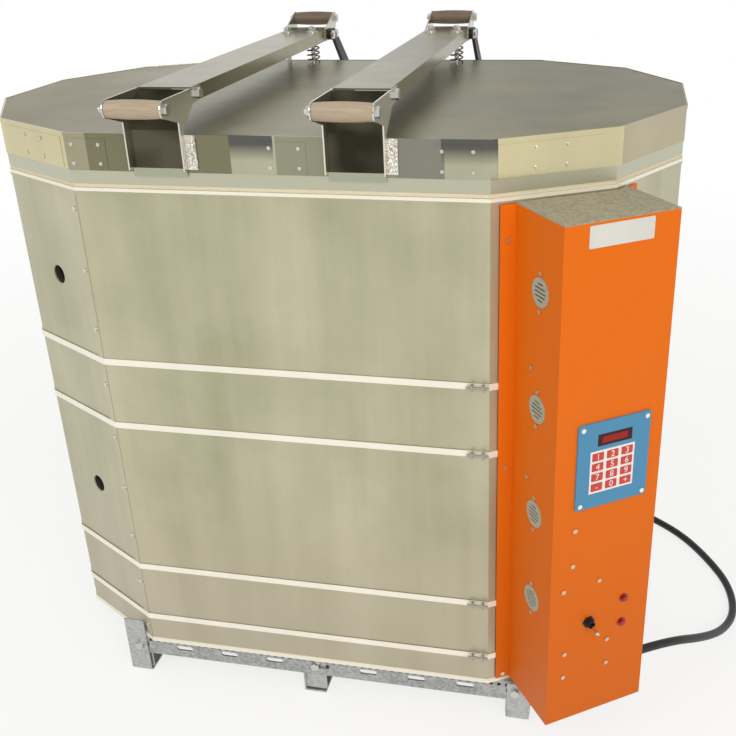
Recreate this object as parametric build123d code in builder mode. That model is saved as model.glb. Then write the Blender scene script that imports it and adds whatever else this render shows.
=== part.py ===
from build123d import *
import math
import os

os.makedirs("parts", exist_ok=True)

# Driving dimensions in millimetres. The kiln stands on z = 0 with its long side along X and its front at -Y.
stand_height = 76
body_width = 668
body_length = 1070
brick_wall = 76
course_height = 228.6
floor_slab_height = 76
base_board_height = 38
lid_slab_height = 74
sheet = 1
skin_gap = 0.3
joint_gap = 0.4
cap_x = (body_length - body_width) / 2
jacket_radius = body_width / 2
brick_radius = jacket_radius - sheet - skin_gap
chamber_radius = brick_radius - brick_wall
slab_bottom = stand_height + base_board_height
wall_bottom = slab_bottom + floor_slab_height
body_top = wall_bottom + 3 * course_height
lid_bottom = body_top + skin_gap
lid_top = lid_bottom + lid_slab_height + sheet
bolt_radius = 4
bolt_hole = 4.4
head_height = 5.5
head_width = 13
flat_step = 30
corner_angles = [-75, -45, -15, 15, 45, 75]


def oval(radius, mode=Mode.ADD):
    """Adds the kiln's plan to the open sketch: an oval whose ends are flats, at a radius from the end's centre."""
    reach = radius / math.cos(math.radians(flat_step / 2))
    points = []
    for side in (1, -1):
        for angle in corner_angles:
            turn = math.radians(angle if side == 1 else angle + 180)
            points.append((side * cap_x + reach * math.cos(turn), reach * math.sin(turn)))
    Polygon(*points, align=None, mode=mode)


def oval_ring(outer, inner, bottom, top):
    """Adds an upright flat-sided shell between two heights to the open part."""
    with BuildSketch(Plane.XY.offset(bottom)) as ring:
        oval(outer)
        oval(inner, Mode.SUBTRACT)
    extrude(ring.sketch, amount=top - bottom)


def flat_plane(side, degrees, radius, height):
    """A plane facing out of the left (-1) or right (1) end at an angle, x along the wall and y up."""
    turn = math.radians(degrees)
    outward = Vector(math.cos(turn), math.sin(turn), 0)
    along = Vector(-math.sin(turn), math.cos(turn), 0)
    centre = Vector(side * cap_x, 0, height) + outward * radius
    return Plane(origin=centre, x_dir=along, z_dir=outward)


def finish(builder, name):
    """Names a finished piece and writes its file."""
    builder.part.label = name
    export_step(builder.part, f"parts/{name}.step")


def bolt(head_plane, grip, nut=True):
    """Adds a hex bolt whose head sits on a plane, with its shank and nut on the far side of what it grips."""
    with BuildSketch(head_plane) as head:
        RegularPolygon(head_width / 2, 6, major_radius=False)
    extrude(head.sketch, amount=head_height)
    with BuildSketch(head_plane) as shank:
        Circle(bolt_radius)
    extrude(shank.sketch, amount=-(grip + (head_height + 3 if nut else 0)))
    if nut:
        with BuildSketch(head_plane.offset(-grip)) as nut_outline:
            RegularPolygon(head_width / 2, 6, major_radius=False)
        extrude(nut_outline.sketch, amount=-head_height)


# Stand: two slotted rails under the long sides, carried by three slotted cross rails on the floor
angle_leg = 38
angle_thick = 3
rail_y = jacket_radius - 9
rail_left = -cap_x - 144
rail_right = cap_x + 156
middle_leg = -26
slot_length = 30
slot_width = 9
clip_gap = 3
rail_bottom = stand_height - angle_leg
rail_bolt_z = rail_bottom + angle_leg / 2
cross_bolt_z = angle_leg / 2 + 2
cross_bolt_y = rail_y - 23
cross_legs = [(rail_left, 1), (middle_leg, 1), (rail_right, -1)]
clip_width = 36
rail_bolt_x = [leg + side * (angle_thick + 20) for leg, side in cross_legs]
rail_slots = 9
cross_slots = 9
rail_pitch = (rail_bolt_x[2] - rail_bolt_x[0]) / (rail_slots - 1)
cross_pitch = 2 * cross_bolt_y / (cross_slots - 1)

with BuildPart() as stand_rails:
    for side in (-1, 1):
        with BuildSketch(Plane.YZ.offset(rail_left)):
            with Locations((side * (rail_y - angle_thick / 2), rail_bottom + angle_leg / 2)):
                Rectangle(angle_thick, angle_leg)
            with Locations((side * (rail_y - angle_leg / 2), stand_height - angle_thick / 2)):
                Rectangle(angle_leg, angle_thick)
        extrude(amount=rail_right - rail_left)
    with BuildSketch(Plane.XZ):
        with Locations(((rail_bolt_x[0] + rail_bolt_x[2]) / 2, rail_bolt_z)):
            with GridLocations(rail_pitch, 1, rail_slots, 1):
                SlotOverall(slot_length, slot_width)
    extrude(amount=rail_y + 1, both=True, mode=Mode.SUBTRACT)
finish(stand_rails, "stand_rails")

with BuildPart() as cross_rails:
    for leg, side in cross_legs:
        with BuildSketch(Plane.XZ.offset(-rail_y)):
            with Locations((leg + side * angle_thick / 2, angle_leg / 2)):
                Rectangle(angle_thick, angle_leg)
            with Locations((leg + side * angle_leg / 2, angle_thick / 2)):
                Rectangle(angle_leg, angle_thick)
        extrude(amount=2 * rail_y)
    with BuildSketch(Plane.YZ.offset(rail_left - 1)):
        with Locations((0, cross_bolt_z)):
            with GridLocations(cross_pitch, 1, cross_slots, 1):
                SlotOverall(slot_length, slot_width)
    extrude(amount=rail_right - rail_left + 2, mode=Mode.SUBTRACT)
finish(cross_rails, "cross_rails")

# Clip angles join the rails at the crossings, and corner plates stop the kiln sliding off
clip_bottom = angle_thick + clip_gap
clip_top = stand_height - angle_thick - clip_gap
plate_bottom = 4
tall_plate_top = stand_height + 34
short_plate_top = stand_height - 2
corner_plates = [
    (rail_left, 1, -1, tall_plate_top),
    (rail_left, 1, 1, tall_plate_top),
    (rail_right, -1, 1, tall_plate_top),
    (rail_right, -1, -1, short_plate_top),
]

with BuildPart() as stand_plates:
    for leg, side in cross_legs:
        face = leg + side * angle_thick
        for end in (-1, 1):
            inner = end * (rail_y - angle_thick)
            with BuildSketch(Plane.XY.offset(clip_bottom)):
                with Locations((face + side * clip_width / 2, inner - end * angle_thick / 2)):
                    Rectangle(clip_width, angle_thick)
                with Locations((face + side * angle_thick / 2, inner - end * clip_width / 2)):
                    Rectangle(angle_thick, clip_width)
            extrude(amount=clip_top - clip_bottom)
    for leg, side, end, top in corner_plates:
        with BuildSketch(Plane.XY.offset(plate_bottom)):
            with Locations((leg + side * clip_width / 2, end * (rail_y + angle_thick / 2))):
                Rectangle(clip_width, angle_thick)
        extrude(amount=top - plate_bottom)
    with BuildSketch(Plane.XZ):
        with Locations(*[(x, rail_bolt_z) for x in rail_bolt_x]):
            Circle(bolt_hole)
    extrude(amount=rail_y + 2 * angle_thick, both=True, mode=Mode.SUBTRACT)
    with BuildSketch(Plane.YZ.offset(rail_left)):
        with Locations((-cross_bolt_y, cross_bolt_z), (cross_bolt_y, cross_bolt_z)):
            Circle(bolt_hole)
    extrude(amount=rail_right - rail_left, mode=Mode.SUBTRACT)
finish(stand_plates, "stand_plates")

with BuildPart() as stand_bolts:
    for index, (leg, side) in enumerate(cross_legs):
        for end in (-1, 1):
            plate = 0 if index == 1 else angle_thick
            outward = (0, end, 0)
            seat = Plane(origin=(rail_bolt_x[index], end * (rail_y + plate), rail_bolt_z), z_dir=outward)
            bolt(seat, plate + 2 * angle_thick)
            seat = Plane(origin=(leg, end * cross_bolt_y, cross_bolt_z), z_dir=(-side, 0, 0))
            bolt(seat, 2 * angle_thick)
finish(stand_bolts, "stand_bolts")

# Base board and floor slab fill the jacket's lower end
with BuildPart() as base_board:
    with BuildSketch(Plane.XY.offset(stand_height)):
        oval(brick_radius)
    extrude(amount=base_board_height)
finish(base_board, "base_board")

with BuildPart() as floor_slab:
    with BuildSketch(Plane.XY.offset(slab_bottom)):
        oval(brick_radius)
    extrude(amount=floor_slab_height)
finish(floor_slab, "floor_slab")

# Wall bricks: three courses of bricks with flat inner faces, split by thin joints
straight_joints = [-110, 0, 110]
groove_offsets = [35, 125]
groove_height = 20
groove_depth = 27
element_depth = 18
element_radius = 5
peep_angle = -120
peep_radius = 13.5
peep_courses = {0: wall_bottom + 169, 2: wall_bottom + 538}
tail_angle = -60
tail_spread = 10
tail_radius = 2.5
tail_hole = 3.5
tail_end = jacket_radius + 14
probe_radius = 4
probe_offset = 180
probe_hole = 4.5
course_names = ["lower", "middle", "upper"]


def joint_cuts():
    """Adds the thin vertical joints between the bricks of a course to the open sketch."""
    long_cut = 2 * brick_radius
    for side in (1, -1):
        for angle in corner_angles:
            with Locations(Pos(side * cap_x, 0) * Rot(0, 0, angle + (0 if side == 1 else 180))):
                with Locations((long_cut / 2, 0)):
                    Rectangle(long_cut, joint_gap)
    with Locations(*[(x, 0) for x in straight_joints]):
        Rectangle(joint_gap, 2 * long_cut)


def brick_sector(angle):
    """Adds the wedge of one left cap brick, cut square at its joints, to the open sketch."""
    reach = 2 * brick_radius
    half = math.radians(flat_step / 2)
    corners = [(0, 0)]
    for turn in (math.radians(angle) - half, math.radians(angle) + half):
        corners.append((reach * math.cos(turn), reach * math.sin(turn)))
    with Locations((-cap_x, 0)):
        Polygon(*corners, align=None)


def course(bottom, wedge=None):
    """Adds the bricks of one course, with only the peephole brick's wedge or all but it."""
    with BuildSketch(Plane.XY.offset(bottom)) as bricks:
        oval(brick_radius)
        oval(chamber_radius, Mode.SUBTRACT)
        with BuildSketch(mode=Mode.SUBTRACT):
            joint_cuts()
        if wedge is not None:
            with BuildSketch(mode=wedge):
                brick_sector(peep_angle)
    extrude(bricks.sketch, amount=course_height)
    for offset in groove_offsets:
        with BuildSketch(Plane.XY.offset(bottom + offset - groove_height / 2)) as groove:
            oval(chamber_radius + groove_depth)
        extrude(groove.sketch, amount=groove_height, mode=Mode.SUBTRACT)


for number, name in enumerate(course_names):
    bottom = wall_bottom + number * course_height
    has_peephole = number in peep_courses
    with BuildPart() as wall_course:
        course(bottom, Mode.SUBTRACT if has_peephole else None)
        for offset in groove_offsets:
            holes = flat_plane(1, tail_angle, chamber_radius - brick_wall, bottom + offset)
            with BuildSketch(holes):
                with Locations((-tail_spread, 0), (tail_spread, 0)):
                    Circle(tail_hole)
            extrude(amount=3 * brick_wall, mode=Mode.SUBTRACT)
        if number == 1:
            with BuildSketch(flat_plane(1, tail_angle, chamber_radius - brick_wall, bottom + probe_offset)):
                Circle(probe_hole)
            extrude(amount=3 * brick_wall, mode=Mode.SUBTRACT)
    finish(wall_course, f"wall_course_{name}")
    if has_peephole:
        with BuildPart() as peephole_brick:
            course(bottom, Mode.INTERSECT)
            bore = flat_plane(-1, peep_angle, chamber_radius - brick_wall, peep_courses[number])
            with BuildSketch(bore):
                Circle(peep_radius)
            extrude(amount=3 * brick_wall, mode=Mode.SUBTRACT)
        finish(peephole_brick, f"peephole_brick_{name}")

# Heating elements: one wound rod in each groove, with two straight tails out to the control box
element_line = chamber_radius + element_depth


def element_path(height):
    """The element's centre line round the grooves, from one side of its tails to the other."""
    reach = element_line / math.cos(math.radians(flat_step / 2))
    plane = flat_plane(1, tail_angle, element_line, height)
    points = [plane.from_local_coords((tail_spread, 0, 0))]
    for angle in (-45, -15, 15, 45, 75, 105, 135, 165, 195, 225, 255, 285):
        side = 1 if -90 < angle < 90 or angle > 270 else -1
        turn = math.radians(angle)
        points.append(Vector(side * cap_x + reach * math.cos(turn), reach * math.sin(turn), height))
    points.append(plane.from_local_coords((-tail_spread, 0, 0)))
    return points


with BuildPart() as heating_elements:
    for number in range(3):
        for offset in groove_offsets:
            height = wall_bottom + number * course_height + offset
            points = element_path(height)
            with BuildLine():
                Polyline(*points)
            with BuildSketch(Plane(origin=points[0], z_dir=points[1] - points[0])):
                RegularPolygon(element_radius, 6)
            sweep(transition=Transition.RIGHT)
            with BuildSketch(flat_plane(1, tail_angle, element_line, height)):
                with Locations((-tail_spread, 0), (tail_spread, 0)):
                    Circle(tail_radius)
            extrude(amount=tail_end - element_line)
finish(heating_elements, "heating_elements")

# Thermocouple: a ceramic tube through the middle course, with its head inside the control box
probe_height = wall_bottom + course_height + probe_offset
probe_inside = 30
probe_head = 9

with BuildPart() as thermocouple:
    with BuildSketch(flat_plane(1, tail_angle, chamber_radius - probe_inside, probe_height)):
        Circle(probe_radius)
    extrude(amount=tail_end - chamber_radius + probe_inside)
    with BuildSketch(flat_plane(1, tail_angle, tail_end, probe_height)):
        Circle(probe_head)
    extrude(amount=14)
finish(thermocouple, "thermocouple")

# Jacket: one sheet round the bricks, hemmed top and bottom, with its overlap and the holes that pass through it
hem_height = 8
hem_thick = 1.2
seam_angle = -120
seam_width = 14
lap_thick = 0.8
flat_half = jacket_radius * math.tan(math.radians(flat_step / 2))
seam_x = flat_half - seam_width / 2 - 1
peep_hole = peep_radius + 1
window_width = 50
window_low = 20
window_high = 195

with BuildPart() as jacket:
    oval_ring(jacket_radius, jacket_radius - sheet, stand_height, body_top)
    oval_ring(jacket_radius + hem_thick, jacket_radius, stand_height, stand_height + hem_height)
    oval_ring(jacket_radius + hem_thick, jacket_radius, body_top - hem_height, body_top)
    with BuildSketch(flat_plane(-1, seam_angle, jacket_radius, (stand_height + body_top) / 2)):
        with Locations((seam_x, 0)):
            Rectangle(seam_width, body_top - stand_height - 2 * hem_height)
    extrude(amount=lap_thick)
    for height in peep_courses.values():
        with BuildSketch(flat_plane(-1, peep_angle, chamber_radius, height)):
            Circle(peep_hole)
        extrude(amount=2 * brick_wall, mode=Mode.SUBTRACT)
    for number in range(3):
        low = wall_bottom + number * course_height
        with BuildSketch(flat_plane(1, tail_angle, chamber_radius, low + (window_low + window_high) / 2)):
            Rectangle(window_width, window_high - window_low)
        extrude(amount=2 * brick_wall, mode=Mode.SUBTRACT)
finish(jacket, "jacket")

# Clamp bands: four steel straps drawn tight round the jacket, each closed by a clamp screw beside the box
band_heights = [stand_height + rise for rise in (55, 158, 425, 533)]
band_width = 10
band_thick = 1
band_inside = jacket_radius + lap_thick
clamp_x = 275 - cap_x
clamp_width = 16
clamp_reach = 9

with BuildPart() as clamp_bands:
    for height in band_heights:
        oval_ring(band_inside + band_thick, band_inside, height - band_width / 2, height + band_width / 2)
        with BuildSketch(flat_plane(1, -90, band_inside + band_thick / 2, height)):
            with Locations((clamp_x, 0)):
                with GridLocations(clamp_width, 1, 2, 1):
                    Rectangle(3, band_width)
        extrude(amount=clamp_reach)
        screw_start = (cap_x + clamp_x - clamp_width, -band_inside - clamp_reach + 3, height)
        with BuildSketch(Plane(origin=screw_start, z_dir=(1, 0, 0))):
            Circle(2.2)
        extrude(amount=2 * clamp_width)
finish(clamp_bands, "clamp_bands")

# Jacket screws: pan heads down the overlap and round the hinge plates
screw_head = 3.5
screw_height = 1.8
seam_screws = 9
seam_pitch = 92
hinge_offset = 43.5
bar_x = [-156, 118]
hinge_x = [x + hinge_offset for x in bar_x]
hinge_plate_thick = 4
hinge_plate_width = 60
hinge_plate_high = body_top - 20
hinge_plate_low = hinge_plate_high - 116
hinge_screw_spread = 44
hinge_screw_rise = 96

with BuildPart() as jacket_screws:
    middle = (stand_height + body_top) / 2
    with BuildSketch(flat_plane(-1, seam_angle, jacket_radius + lap_thick, middle)):
        with Locations((seam_x, 0)):
            with GridLocations(1, seam_pitch, 1, seam_screws):
                Circle(screw_head)
    extrude(amount=screw_height)
    for x in hinge_x:
        centre = (x, jacket_radius + hinge_plate_thick, (hinge_plate_low + hinge_plate_high) / 2)
        with BuildSketch(Plane(origin=centre, x_dir=(1, 0, 0), z_dir=(0, 1, 0))):
            with GridLocations(hinge_screw_spread, hinge_screw_rise, 2, 2):
                Circle(screw_head)
        extrude(amount=screw_height)
finish(jacket_screws, "jacket_screws")

# Lid: a brick slab with a doubled rim band, a hemmed edge and a flat top sheet
lid_band_low = lid_bottom + 6
lid_strip_low = lid_band_low + 18
lid_bead_low = lid_top - 5
lid_bead_radius = jacket_radius + 1.8
joint_plate_thick = 0.6
plate_screw_rise = 26
end_plate = 150
front_plate = 60
joint_plates = [
    (-1, -120, 0, end_plate, 44),
    (-1, -90, -62, front_plate, 40),
    (1, -90, 20 - cap_x, front_plate, 40),
    (1, -90, 48, front_plate, 40),
    (1, -60, -5, end_plate, 44),
]

with BuildPart() as lid_slab:
    with BuildSketch(Plane.XY.offset(lid_bottom)):
        oval(brick_radius)
    extrude(amount=lid_slab_height)
finish(lid_slab, "lid_slab")

with BuildPart() as lid_top_sheet:
    with BuildSketch(Plane.XY.offset(lid_bottom + lid_slab_height)):
        oval(brick_radius)
    extrude(amount=sheet)
finish(lid_top_sheet, "lid_top_sheet")

with BuildPart() as lid_band:
    oval_ring(jacket_radius, jacket_radius - sheet, lid_band_low, lid_top)
    oval_ring(jacket_radius + sheet, jacket_radius, lid_strip_low, lid_top)
    oval_ring(lid_bead_radius, jacket_radius, lid_bead_low, lid_top + 0.6)
    strip_middle = (lid_strip_low + lid_bead_low) / 2
    for side, angle, along, width, spread in joint_plates:
        with BuildSketch(flat_plane(side, angle, jacket_radius + sheet, strip_middle)):
            with Locations((along, 0)):
                Rectangle(width, lid_bead_low - lid_strip_low - 4)
        extrude(amount=joint_plate_thick)
finish(lid_band, "lid_band")

with BuildPart() as lid_screws:
    for side, angle, along, width, spread in joint_plates:
        with BuildSketch(flat_plane(side, angle, jacket_radius + sheet + joint_plate_thick, strip_middle)):
            with Locations((along, 0)):
                with GridLocations(spread, plate_screw_rise, 2, 2):
                    Circle(2.5)
        extrude(amount=1.4)
finish(lid_screws, "lid_screws")

# Lid bars: two inverted channels from the front edge to the hinges, with the holes for their bolts
bar_width = 77
bar_depth = 20
bar_sheet = 2
bar_top = lid_top + 55
bar_front = 38 - jacket_radius
bar_back = jacket_radius + 51
bar_bolt_z = bar_top - bar_depth / 2
front_bolt_y = bar_front + 16
rear_bolt_y = [bar_back - 33, bar_back - 11]
stud_y = jacket_radius - 34
stud_offset = 24

for name, x in zip(("left_bar", "right_bar"), bar_x):
    with BuildPart() as bar:
        with BuildSketch(Plane.XZ.offset(-bar_back)):
            with Locations((x, bar_top - bar_depth / 2)):
                Rectangle(bar_width, bar_depth)
            with Locations((x, bar_top - bar_sheet - bar_depth / 2)):
                Rectangle(bar_width - 2 * bar_sheet, bar_depth, mode=Mode.SUBTRACT)
        extrude(amount=bar_back - bar_front)
        with BuildSketch(Plane.YZ.offset(x - bar_width)):
            with Locations(*[(y, bar_bolt_z) for y in (front_bolt_y, *rear_bolt_y)]):
                Circle(bolt_hole)
        extrude(amount=2 * bar_width, mode=Mode.SUBTRACT)
        with BuildSketch(Plane.XY.offset(bar_top)):
            with Locations((x - stud_offset, stud_y), (x + stud_offset, stud_y)):
                Circle(bolt_hole)
        extrude(amount=-bar_depth, mode=Mode.SUBTRACT)
    finish(bar, name)

# Front brackets: a polished folded sheet from the lid band up to the bar, with ears for the grip
bracket_sheet = 2
bracket_low = lid_strip_low + 5
foot_low = bracket_low - 10
bracket_back = -lid_bead_radius
bracket_front = bracket_back - 12
grip_y = -jacket_radius - 51
grip_z = bar_top - 13
ear_radius = 12
flange_width = 14
flange_height = 46
ear_centre = (grip_y, grip_z)
rear_grip_y = bar_back + 15
rear_grip_z = bar_top + 15
bar_under = bar_top - bar_depth
grip_bolt_hole = 4.4

with BuildPart() as front_brackets:
    for x in bar_x:
        for side in (-1, 1):
            with BuildSketch(Plane.YZ.offset(x + side * (bar_width + bracket_sheet) / 2 - bracket_sheet / 2)):
                Polygon(
                    (bracket_back, bracket_low),
                    (bracket_front, bracket_low),
                    (bracket_front, grip_z - 2 * ear_radius),
                    (grip_y, grip_z - ear_radius),
                    (grip_y, grip_z + ear_radius),
                    (front_bolt_y + ear_radius, grip_z + ear_radius),
                    (front_bolt_y + ear_radius, bar_under + 1),
                    (bar_front - 2, bar_under - 1),
                    (bracket_back, lid_top + 5),
                    align=None,
                )
                with Locations(ear_centre):
                    Circle(ear_radius)
                    Circle(grip_bolt_hole, mode=Mode.SUBTRACT)
                with Locations((front_bolt_y, bar_bolt_z)):
                    Circle(bolt_hole, mode=Mode.SUBTRACT)
            extrude(amount=bracket_sheet)
        with BuildSketch(Plane.YZ.offset(x - bar_width / 2)):
            Polygon(
                (bracket_back, foot_low),
                (bracket_back - bracket_sheet, foot_low),
                (bracket_back - bracket_sheet, lid_top + 6),
                (bar_front - 4, bar_top - 3),
                (bar_front - 2, bar_top - 5),
                (bracket_back, lid_top + 5),
                align=None,
            )
        extrude(amount=bar_width)
        edge = x + bar_width / 2 + bracket_sheet
        with BuildSketch(Plane.XZ.offset(-bracket_back)):
            with Locations((edge + flange_width / 2, bracket_low + flange_height / 2)):
                Rectangle(flange_width, flange_height)
        extrude(amount=bracket_sheet)
finish(front_brackets, "front_brackets")

with BuildPart() as rear_brackets:
    for x in bar_x:
        for side in (-1, 1):
            with BuildSketch(Plane.YZ.offset(x + side * (bar_width + bracket_sheet) / 2 - bracket_sheet / 2)):
                Polygon(
                    (rear_bolt_y[0] - 17, bar_under),
                    (bar_back + 6, bar_under),
                    (rear_grip_y + 11, rear_grip_z - 5),
                    (rear_grip_y, rear_grip_z + ear_radius),
                    (rear_bolt_y[0] - 17, bar_top + 2),
                    align=None,
                )
                with Locations((rear_grip_y, rear_grip_z)):
                    Circle(ear_radius)
                    Circle(grip_bolt_hole, mode=Mode.SUBTRACT)
                with Locations(*[(y, bar_bolt_z) for y in rear_bolt_y]):
                    Circle(bolt_hole, mode=Mode.SUBTRACT)
            extrude(amount=bracket_sheet)
finish(rear_brackets, "rear_brackets")

# Grips: turned wood, slightly fuller in the middle, bored for their bolts
grip_length = bar_width - 0.6
grip_end_radius = 11
grip_radius = 12.5

for name, y, z in (("front_grips", grip_y, grip_z), ("rear_grips", rear_grip_y, rear_grip_z)):
    with BuildPart() as grips:
        for x in bar_x:
            with BuildSketch(Plane(origin=(x, y, z), x_dir=(1, 0, 0), z_dir=(0, -1, 0))):
                with BuildLine():
                    ends = [(-grip_length / 2, grip_end_radius), (grip_length / 2, grip_end_radius)]
                    ThreePointArc(ends[0], (0, grip_radius), ends[1])
                    Line(ends[1], (grip_length / 2, grip_bolt_hole))
                    Line((grip_length / 2, grip_bolt_hole), (-grip_length / 2, grip_bolt_hole))
                    Line((-grip_length / 2, grip_bolt_hole), ends[0])
                make_face()
            revolve(axis=Axis((x, y, z), (1, 0, 0)))
    finish(grips, name)

# Lid bolts: long bolts through the bars and brackets, grip bolts, and the studs that hold the rear of the bars
arm_thick = 6
arm_gap = 0.3
cheek_out = bar_width / 2 + bracket_sheet
stud_nut = 6
washer_radius = 11
washer_thick = 2

with BuildPart() as lid_bolts:
    for x in bar_x:
        front = Plane(origin=(x + cheek_out, front_bolt_y, bar_bolt_z), z_dir=(1, 0, 0))
        bolt(front, 2 * cheek_out)
        for y in rear_bolt_y:
            rear = Plane(origin=(x + cheek_out + arm_gap + arm_thick, y, bar_bolt_z), z_dir=(1, 0, 0))
            bolt(rear, 2 * cheek_out + arm_gap + arm_thick)
        for y, z in ((grip_y, grip_z), (rear_grip_y, rear_grip_z)):
            bolt(Plane(origin=(x + cheek_out, y, z), z_dir=(1, 0, 0)), 2 * cheek_out)
        for offset, radius in ((-stud_offset, bolt_radius), (stud_offset, bolt_radius)):
            with BuildSketch(Plane.XY.offset(lid_top)):
                with Locations((x + offset, stud_y)):
                    Circle(radius)
            extrude(amount=bar_top + washer_thick + stud_nut + 3 - lid_top)
            with BuildSketch(Plane.XY.offset(bar_top)):
                with Locations((x + offset, stud_y)):
                    Circle(washer_radius)
            extrude(amount=washer_thick)
            with BuildSketch(Plane.XY.offset(bar_top + washer_thick)):
                with Locations((x + offset, stud_y)):
                    RegularPolygon(head_width / 2, 6, major_radius=False)
            extrude(amount=stud_nut)
finish(lid_bolts, "lid_bolts")


def biarc(start, start_way, end, end_way):
    """Two arcs that leave a point in one direction and reach another point in a second direction."""
    span = end - start
    ways = start_way + end_way
    spread = 2 * (1 - start_way.dot(end_way))
    along = span.dot(ways)
    step = (-along + math.sqrt(along * along + spread * span.dot(span))) / spread
    join = (start + end + (start_way - end_way) * step) / 2
    first = Edge.make_tangent_arc(start, start_way, join)
    second = Edge.make_tangent_arc(join, first % 1, end)
    return [first, second]


def least_gap(wire, diameter, samples):
    """The least clear distance between stretches of a tube that aren't neighbours, worked out on points."""
    length = wire.length
    points = [wire.position_at(i / samples) for i in range(samples + 1)]
    apart = int(samples * 3 * diameter / length) + 1
    least = length
    for i, point in enumerate(points):
        for other in points[i + apart:]:
            least = min(least, (point - other).length)
    return least - diameter


# Springs: one round the right stud under each bar, pressing the bar off the lid
spring_wire = 2.8
spring_outside = 25
spring_curls = 6
spring_clear = 0.1
spring_low = lid_top + spring_wire / 2 + spring_clear
spring_high = bar_top - bar_sheet - spring_wire / 2 - spring_clear
spring_radius = (spring_outside - spring_wire) / 2

with BuildPart() as lid_springs:
    for x in bar_x:
        rise = (spring_high - spring_low) / (2 * spring_curls)
        slope = rise / math.pi
        edges = []
        for half in range(2 * spring_curls):
            ends = []
            for turn in (half * math.pi, (half + 1) * math.pi):
                spot = Vector(
                    x + stud_offset + spring_radius * math.cos(turn),
                    stud_y + spring_radius * math.sin(turn),
                    spring_low + rise * turn / math.pi,
                )
                way = Vector(-spring_radius * math.sin(turn), spring_radius * math.cos(turn), slope)
                ends.append((spot, way.normalized()))
            edges += biarc(*ends[0], *ends[1])
        spring_line = Wire(edges)
        with BuildSketch(Plane(origin=spring_line @ 0, z_dir=spring_line % 0)):
            Circle(spring_wire / 2)
        sweep(path=spring_line)
    print("spring least gap", round(least_gap(spring_line, spring_wire, 400), 2))
finish(lid_springs, "lid_springs")

# Hinge arms: one bent flat bar beside each bar's tail, down to the pin behind the kiln
pivot_y = jacket_radius + 130
pivot_z = body_top + 40.2
pin_radius = 5
pin_bore = 5.05
arm_nose = 14
arm_shoulder = 9.5

with BuildPart() as hinge_arms:
    for x in bar_x:
        with BuildSketch(Plane.YZ.offset(x + cheek_out + arm_gap)):
            with BuildSketch() as tail:
                with Locations(*[(y, bar_bolt_z) for y in rear_bolt_y]):
                    Circle(arm_shoulder)
                make_hull()
            with BuildSketch() as link:
                with Locations((rear_bolt_y[1], bar_bolt_z)):
                    Circle(arm_shoulder)
                with Locations((pivot_y, pivot_z)):
                    Circle(arm_nose)
                make_hull()
            with Locations((pivot_y, pivot_z)):
                Circle(pin_bore, mode=Mode.SUBTRACT)
            with Locations(*[(y, bar_bolt_z) for y in rear_bolt_y]):
                Circle(bolt_hole, mode=Mode.SUBTRACT)
        extrude(amount=arm_thick)
finish(hinge_arms, "hinge_arms")

# Hinge brackets: a plate on the kiln's back with two cheeks, and a pin between them
cheek_sheet = 4
arm_start = cheek_out + arm_gap
hinge_gap = 0.5

with BuildPart() as hinge_brackets:
    for x in bar_x:
        with BuildSketch(Plane.XZ.offset(-jacket_radius)):
            with Locations((x + hinge_offset, (hinge_plate_low + hinge_plate_high) / 2)):
                Rectangle(hinge_plate_width, hinge_plate_high - hinge_plate_low)
        extrude(amount=-hinge_plate_thick)
        for cheek in (arm_start - hinge_gap - cheek_sheet, arm_start + arm_thick + hinge_gap):
            with BuildSketch(Plane.YZ.offset(x + cheek)):
                plate_face = jacket_radius + hinge_plate_thick
                with BuildSketch():
                    Polygon(
                        (plate_face, hinge_plate_low + 40),
                        (plate_face + 1, hinge_plate_low + 40),
                        (plate_face + 1, hinge_plate_high),
                        (plate_face, hinge_plate_high),
                        align=None,
                    )
                    with Locations((pivot_y, pivot_z)):
                        Circle(arm_nose)
                    make_hull()
                with Locations((pivot_y, pivot_z)):
                    Circle(pin_bore, mode=Mode.SUBTRACT)
            extrude(amount=cheek_sheet)
finish(hinge_brackets, "hinge_brackets")

with BuildPart() as hinge_pins:
    pin_start = arm_start - hinge_gap - cheek_sheet
    pin_length = arm_thick + 2 * hinge_gap + 2 * cheek_sheet
    for x in bar_x:
        head = Plane(origin=(x + pin_start, pivot_y, pivot_z), z_dir=(1, 0, 0))
        with BuildSketch(head):
            Circle(pin_radius)
        extrude(amount=pin_length)
        with BuildSketch(head, head.offset(pin_length + 3)):
            Circle(pin_radius + 3)
        extrude(amount=-3)
finish(hinge_pins, "hinge_pins")

# Control box: a folded shell with two flanges, standing out from the right cap
box_angle = -55
box_front = 449
box_half = 84
box_sheet = 1.5
box_low = stand_height + 8
box_high = body_top - 7
box_back = 200
flange_inside = band_inside + band_thick + 0.2
flange_reach = 106
plate_thick = 1.5
box_turn = math.radians(box_angle)
box_out = Vector(math.cos(box_turn), math.sin(box_turn), 0)
box_along = Vector(-math.sin(box_turn), math.cos(box_turn), 0)
box_centre = Vector(cap_x, 0, 0)
box_face = Plane(origin=box_centre + box_out * box_front, x_dir=box_along, z_dir=box_out)
box_left = Plane(origin=box_centre - box_along * box_half, x_dir=box_out, z_dir=box_along * -1)
box_right = Plane(origin=box_centre + box_along * box_half, x_dir=box_out * -1, z_dir=box_along)
vent_r = 398
vent_heights = [box_high - drop for drop in (101, 268, 434, 581)]
vent_hole = 16
vent_radius = 20
keypad_s = 5
keypad_z = box_low + 442
keypad_width = 114
keypad_height = 132
key_columns = 3
key_rows = 4
key_pitch_s = 23
key_pitch_z = 15.8
key_centre = (3.5, keypad_z - 10.5)
key_width = 18
key_height = 12
display_centre = (6, keypad_z + 38)
display_width = 54
display_height = 18
toggle_s = -18
toggle_z = box_low + 175
bushing_radius = 6
lamp_places = [(41, toggle_z + 24), (40, toggle_z - 20)]
lamp_radius = 5
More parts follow.
